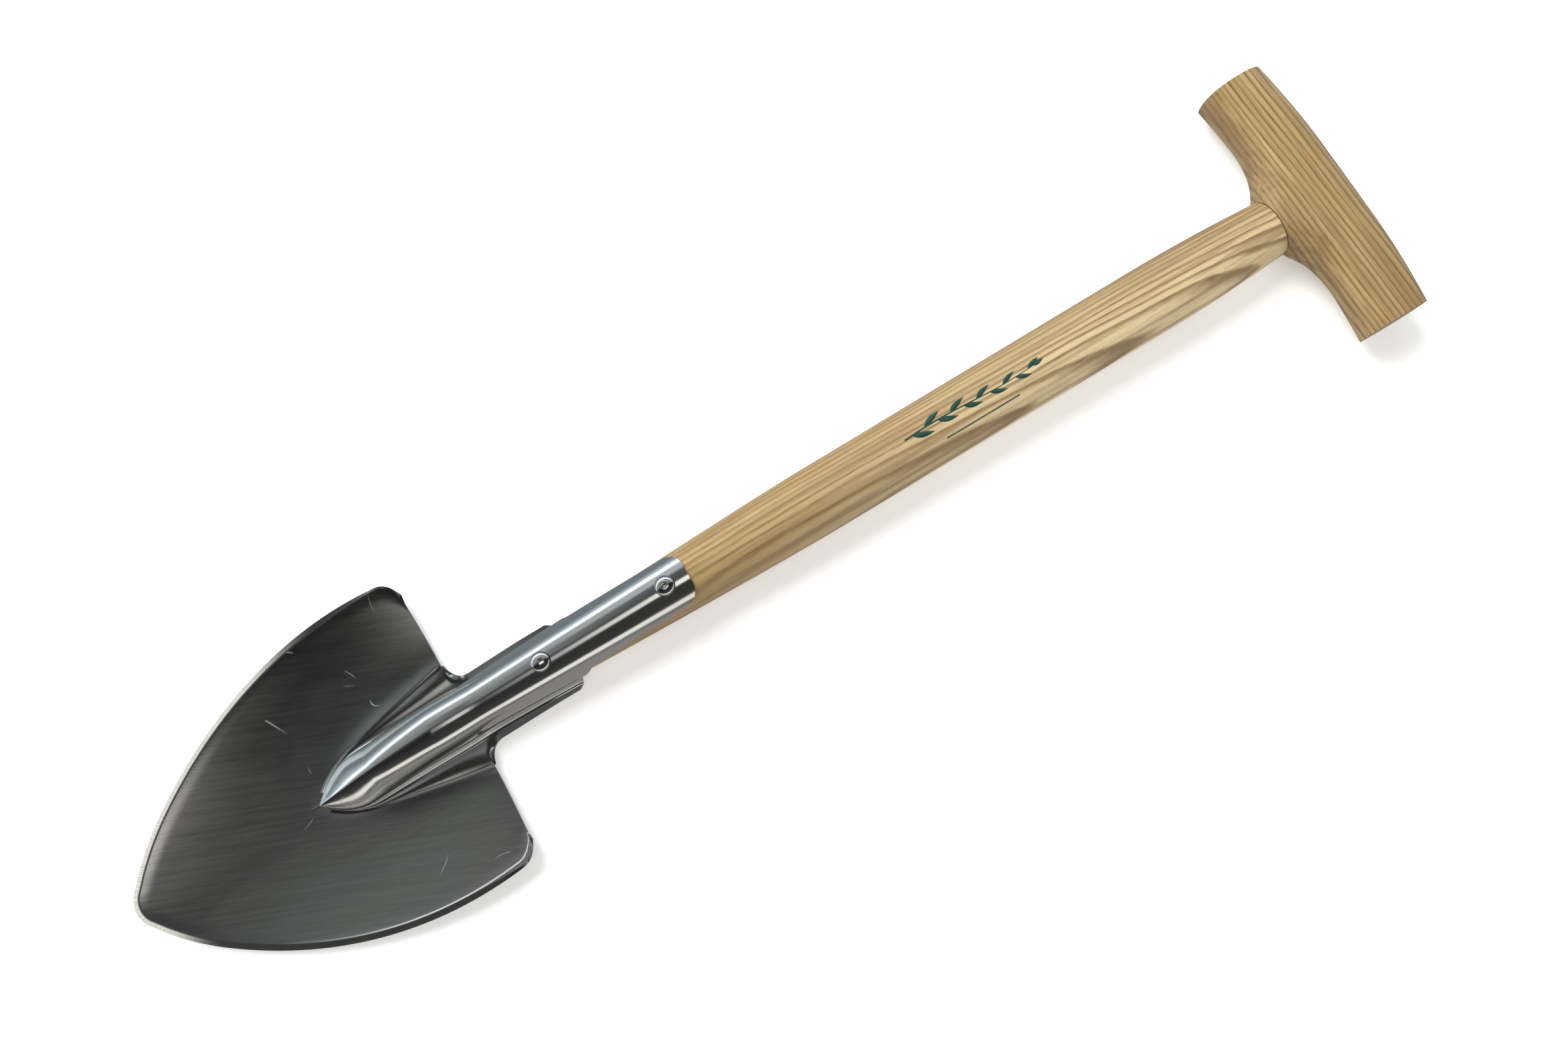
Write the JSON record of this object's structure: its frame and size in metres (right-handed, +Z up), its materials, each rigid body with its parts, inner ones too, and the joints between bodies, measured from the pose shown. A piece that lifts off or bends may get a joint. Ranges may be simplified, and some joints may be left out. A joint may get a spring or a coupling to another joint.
{
  "type": "garden spade",
  "caption": "Small garden spade: dished pointed steel blade with a hollow frog and open socket, riveted to an ash shaft with a wooden T-handle.",
  "frame": {"origin": "centre of the bounding box at floor level, with the spade lying on its back", "axes": "+X along the shaft from the blade's tip to the T-handle, +Y to the left across the blade, +Z up, out of the blade's digging face"},
  "size_m": [0.69, 0.1592, 0.037],
  "materials": {
    "stainless_steel": "brushed along the blade, polished on the socket",
    "ash_shaft": "satin lacquer, grain along the shaft",
    "ash_handle": "satin lacquer, grain along the bar",
    "polished_steel": "polished",
    "washer_steel": "plain"
  },
  "bodies": {
    "root": {"blade_and_socket": "stainless_steel", "shaft": "ash_shaft", "t_handle": "ash_handle", "rivet_lower": "polished_steel", "rivet_upper": "polished_steel", "rivet_washer_lower": "washer_steel", "rivet_washer_upper": "washer_steel"}
  },
  "joints": []
}
